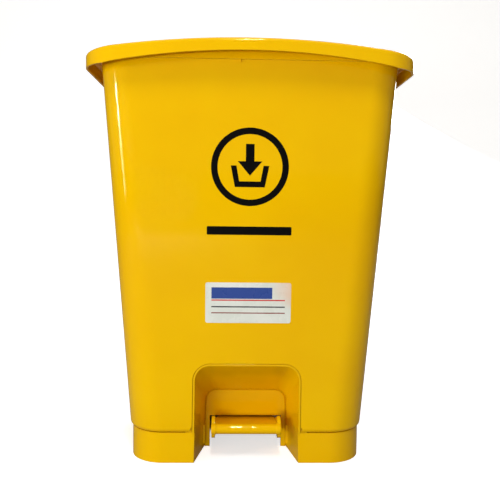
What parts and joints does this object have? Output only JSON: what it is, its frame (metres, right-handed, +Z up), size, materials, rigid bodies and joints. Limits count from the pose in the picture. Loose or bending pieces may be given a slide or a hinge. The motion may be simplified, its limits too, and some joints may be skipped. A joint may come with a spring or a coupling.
{
  "type": "pedal bin",
  "caption": "Tall tapered plastic bin on an inset base, with a crowned lid hinged at the rear that a foot pedal lifts through a rod in a rear channel.",
  "frame": {"origin": "on the floor, under the middle of the overall box", "axes": "+Z up, -Y towards the pedal and the front, +X to the right seen from the front"},
  "size_m": [0.4616, 0.38, 0.606],
  "materials": {
    "body_plastic": "glossy moulded polypropylene",
    "base_plastic": "glossy moulded polypropylene",
    "lid_plastic": "glossy moulded polypropylene",
    "pedal_plastic": "glossy moulded polypropylene",
    "cover_plastic": "glossy moulded polypropylene",
    "black_plastic": "satin nylon",
    "steel": "drawn steel bar",
    "zinc_steel": "zinc plated",
    "black_ink": "screen print",
    "label_vinyl": "satin vinyl sticker"
  },
  "bodies": {
    "bin": {"bin_body": "body_plastic", "base_plinth": "base_plastic", "pedal_axle": "steel", "axle_cap_left": "black_plastic", "axle_cap_right": "black_plastic", "rod_guide_lower": "black_plastic", "rod_guide_upper": "black_plastic", "rear_cover": "cover_plastic", "cover_screws": "zinc_steel", "base_screws": "zinc_steel", "hinge_pin_left": "steel", "hinge_pin_right": "steel", "symbol_print": "black_ink", "caption_bar_print": "black_ink", "front_label": "label_vinyl"},
    "lid": {"lid": "lid_plastic", "lift_bracket": "zinc_steel", "lift_pin": "steel", "bracket_screws": "zinc_steel"},
    "lift_rod": {"lift_rod": "steel", "rod_head": "black_plastic", "rod_foot": "black_plastic", "rod_foot_pin": "steel"},
    "pedal": {"pedal_lever": "pedal_plastic"}
  },
  "joints": [
    {"name": "lid_hinge", "type": "hinge", "parent": "bin", "child": "lid", "pos_m": [0, 0.183, 0.583], "axis": [-1, 0, 0], "range_deg": [0, 72]},
    {"name": "rod_slide", "type": "slide", "parent": "bin", "child": "lift_rod", "axis": [0, 0.0663, 0.9978], "range_m": [0, 0.04234]},
    {"name": "pedal_pivot", "type": "hinge", "parent": "bin", "child": "pedal", "pos_m": [0, -0.014, 0.046], "axis": [1, 0, 0], "range_deg": [0, 18.72]}
  ],
  "couplings": [
    {"joint": "rod_slide", "follows": "lid_hinge", "m_per_rad": 0.033678},
    {"joint": "pedal_pivot", "follows": "lid_hinge", "ratio": 0.25992}
  ]
}
